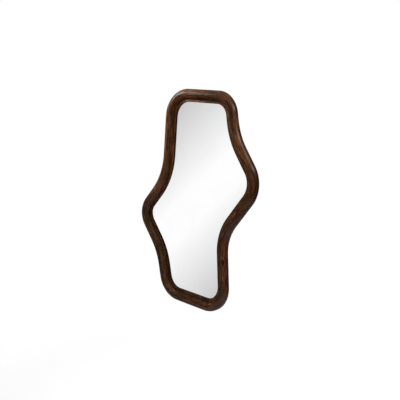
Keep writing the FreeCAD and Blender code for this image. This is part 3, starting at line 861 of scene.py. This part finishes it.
# place, aim, size, power, and whether gloss shows the lamp
lampForm = {
    "front": ((0.8, -2.25, 0.1), (0, 0, 0), (1.6, 1.2), 26, False),
    "key": ((-1.5, -1.45, 1.25), (0, 0, 0.2), (0.5, 0.5), 8, False),
    "left": ((-0.48, -0.34, 0.66), (-0.17, 0, 0.44), (0.2, 0.3), 4.5, True),
    "right": ((1.8, 0.3, 1.5), (0, 0, 0), (1.0, 0.6), 32, True),
    "back": ((0, 2.3, -0.1), (0, 0, 0), (1.6, 1.2), 30, False),
}


def makeLamps(form):
    for name, (place, aim, size, power, shows) in form.items():
        data = bpy.data.lights.new(name, "AREA")
        data.shape = "RECTANGLE"
        data.size, data.size_y = size
        data.energy = power
        lamp = bpy.data.objects.new(name, data)
        lamp.location = place
        lamp.rotation_euler = (Vector(aim) - Vector(place)).to_track_quat("-Z", "Y").to_euler()
        lamp.visible_glossy = shows
        lamp.visible_camera = lamp.visible_transmission = False
        scene.collection.objects.link(lamp)


floorForm = {
    "height": -1.25,
    "radius": 1.9,
    "rim": 1.1,                 # from here out it fades into the white surround
    "sides": 96,
    "color": shade(0.5, 0.5, 0.5),
    "roughness": 0.9,
    "glow": 0.66,               # brings the floor up to white beside the object's shadow
}


def makeFloor(form):
    mesh = bpy.data.meshes.new("floor")
    work = bmesh.new()
    bmesh.ops.create_circle(work, cap_ends=True, segments=form["sides"], radius=form["radius"],
                            matrix=Matrix.Translation((0, 0, form["height"])))
    work.to_mesh(mesh)
    work.free()
    made, tree, shader = newMaterial("paleFloor")
    shader.inputs["Base Color"].default_value = form["color"]
    shader.inputs["Roughness"].default_value = form["roughness"]
    shader.inputs["Specular IOR Level"].default_value = 0.0
    path = addNode(tree, "LightPath").outputs
    mirrored = calc(tree, "MAXIMUM", path["Is Glossy Ray"], path["Is Transmission Ray"])
    seen = calc(tree, "MAXIMUM", path["Is Camera Ray"], mirrored)
    glow = addNode(tree, "Emission", {"Strength": calc(tree, "MULTIPLY", seen, form["glow"])})
    lit = addNode(tree, "AddShader", {0: shader.outputs[0], 1: glow.outputs[0]})
    white = addNode(tree, "Emission", {"Strength": seen})
    fromMiddle = lengthOf(tree, stretch(tree, objectPlace(tree), (1, 1, 0)))
    fade = remap(tree, fromMiddle, form["rim"], form["radius"])
    mixed = addNode(tree, "MixShader", {0: fade, 1: lit.outputs[0], 2: white.outputs[0]})
    feed(tree, mixed.outputs[0], tree.nodes["Material Output"].inputs["Surface"])
    mesh.materials.append(made)
    floor = bpy.data.objects.new("floor", mesh)
    scene.collection.objects.link(floor)


# white all round; in the glass it turns soft grey to either side of slanting white bands, one every turn
studioForm = {
    "ambient": (0.07, 0.26),      # from below, from above
    "horizon": (-0.3, 0.3),       # heights between which it changes
    "turn": math.radians(42.36),
    "dip": math.radians(6.92),
    "grey": 0.60,
    "band": (0.026, 0.150),       # radians from the band's middle: white, full grey
    "clear": (0.19, 0.30, 1.0, 0.4),    # further out, back to a pale grey
    "level": 0.15,                # what gloss shows at eye level
    "flag": 0.06,                 # dark cards behind the object, for its edges
    "flagEdge": (-0.15, 0.25),
    "overhead": (0.55, 0.9),      # heights from which gloss sees white
}


def makeStudio(form):
    world = bpy.data.worlds.new("studio")
    scene.world = world
    world.use_nodes = True
    tree = world.node_tree
    ray = addNode(tree, "SeparateXYZ", {0: addNode(tree, "TexCoord").outputs["Generated"]}).outputs
    azimuth = calc(tree, "ARCTAN2", ray["X"], calc(tree, "MULTIPLY", ray["Y"], -1.0))
    aside = calc(tree, "WRAP", azimuth, form["turn"] / 2, -form["turn"] / 2)
    above = calc(tree, "ADD", calc(tree, "ARCSINE", ray["Z"]), form["dip"])
    diagonal = calc(tree, "MULTIPLY", calc(tree, "SUBTRACT", aside, above), math.sqrt(0.5))
    slant = calc(tree, "ABSOLUTE", diagonal)
    grey = calc(tree, "MULTIPLY", remap(tree, slant, *form["band"], curve="LINEAR"),
                remap(tree, slant, *form["clear"]))
    throughGlass = remap(tree, grey, 0.0, 1.0, 1.0, form["grey"], "LINEAR")
    behind = remap(tree, ray["Y"], *form["flagEdge"], form["level"], form["flag"])
    offGloss = calc(tree, "MAXIMUM", behind, remap(tree, ray["Z"], *form["overhead"]))
    path = addNode(tree, "LightPath").outputs
    ambient = remap(tree, ray["Z"], *form["horizon"], *form["ambient"])
    plain = mixValue(tree, path["Is Camera Ray"], ambient, 1.0)
    glossy = mixValue(tree, path["Is Glossy Ray"], plain, offGloss)
    # the white in the mirror is for the eye, and isn't thrown on the wood as light
    direct = calc(tree, "LESS_THAN", path["Diffuse Depth"], 0.5)
    mirrored = calc(tree, "MULTIPLY", path["Is Transmission Ray"], direct)
    feed(tree, mixValue(tree, mirrored, glossy, throughGlass), tree.nodes["Background"].inputs["Strength"])
    tree.nodes["Background"].inputs["Color"].default_value = shade(1, 1, 1)


makeLamps(lampForm)
makeFloor(floorForm)
makeStudio(studioForm)
print("studio:", len(lampForm), "lamps, floor and white surround")
